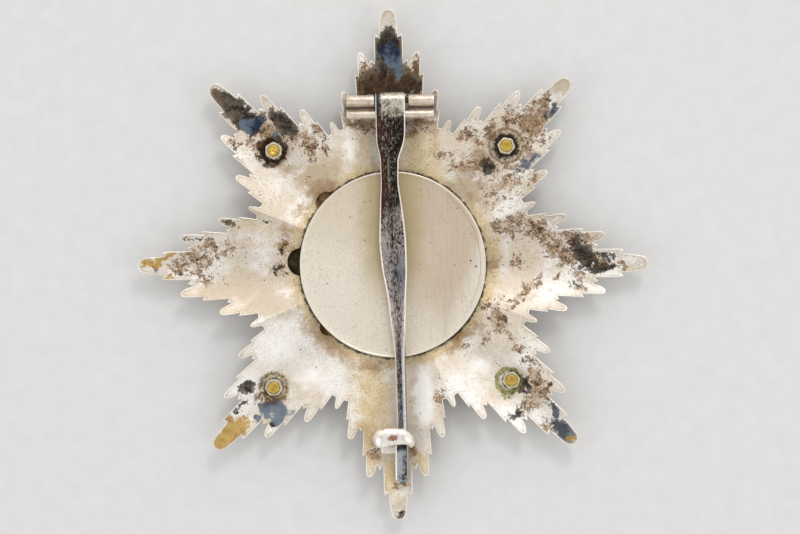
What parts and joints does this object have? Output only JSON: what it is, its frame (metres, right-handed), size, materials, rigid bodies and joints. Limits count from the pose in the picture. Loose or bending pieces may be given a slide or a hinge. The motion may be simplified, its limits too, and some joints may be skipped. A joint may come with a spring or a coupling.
{
  "type": "breast star",
  "caption": "Silver breast star of radiating rays lying face down, with a round back disc, bolted fixings and a hinged brooch pin closed in its hook catch.",
  "frame": {"origin": "on the surface that the star rests on, under the centre of the star", "axes": "+Z out of the back, away from the surface; +Y towards the arm with the hinge; +X to the right seen from the back"},
  "size_m": [0.088, 0.088, 0.0081],
  "materials": {
    "silver_plate": "cast silver with a whitish satin skin, dark tarnish and brown stains",
    "silver_disc": "satin silver with a yellowish bloom",
    "silver_seat": "turned silver, tarnished",
    "gilt_screw": "worn gilding",
    "silver_nut": "silver with grime in the corners",
    "silver_hinge": "polished silver with grime in the gaps",
    "dark_axle": "dull steel",
    "dark_pin": "drawn metal with dark tarnish, pitting and bright worn edges",
    "silver_catch": "polished silver with a copper-coloured worn spot"
  },
  "bodies": {
    "star": {"ray_plate": "silver_plate", "back_disc": "silver_disc", "centre_boss": "silver_seat", "screw_ne": "gilt_screw", "screw_nw": "gilt_screw", "screw_sw": "gilt_screw", "screw_se": "gilt_screw", "nut_ne": "silver_nut", "nut_nw": "silver_nut", "nut_sw": "silver_nut", "nut_se": "silver_nut", "hinge_block": "silver_hinge", "hinge_axle": "dark_axle", "catch_hook": "silver_catch"},
    "pin": {"brooch_pin": "dark_pin"}
  },
  "joints": [
    {"name": "pin_swing", "type": "hinge", "parent": "star", "child": "pin", "pos_m": [0, 0.0282, 0.0067], "axis": [-1, 0, 0], "range_deg": [0, 110]}
  ]
}
